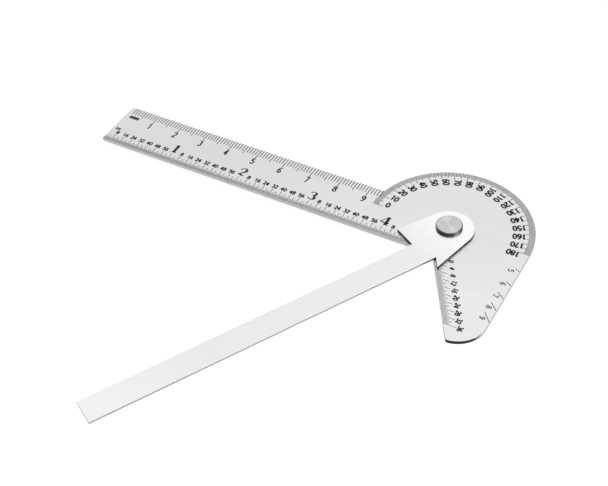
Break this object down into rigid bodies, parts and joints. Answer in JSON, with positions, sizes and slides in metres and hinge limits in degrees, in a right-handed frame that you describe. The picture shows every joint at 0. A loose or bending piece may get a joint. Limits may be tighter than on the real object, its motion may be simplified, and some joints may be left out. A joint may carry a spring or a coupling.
{
  "type": "goniometer",
  "caption": "Flat steel goniometer: a rule with a half-round protractor and drill point gauge head, and a swing arm riveted at the protractor's centre.",
  "frame": {"origin": "on the pivot axis, at the flat outer face of the rivet's tail at the back of the tool", "axes": "+Z along the pivot axis out of the graduated face, +X away from the rule's free end and parallel to its straight edges, +Y towards the protractor's round edge"},
  "size_m": [0.1458, 0.1358, 0.0044],
  "materials": {
    "satin_steel": "satin brushed stainless steel",
    "plain_steel": "bright satin stainless steel",
    "polished_steel": "polished stainless steel",
    "spring_steel": "dull spring steel"
  },
  "bodies": {
    "plate_body": {"plate": "satin_steel", "pivot_rivet": "polished_steel", "spring_washer": "spring_steel", "back_washer": "polished_steel"},
    "arm_body": {"arm": "plain_steel"}
  },
  "joints": [
    {"name": "arm_swing", "type": "hinge", "parent": "plate_body", "child": "arm_body", "pos_m": [0, 0, 0.00308], "axis": [0, 0, 1], "continuous": true}
  ]
}
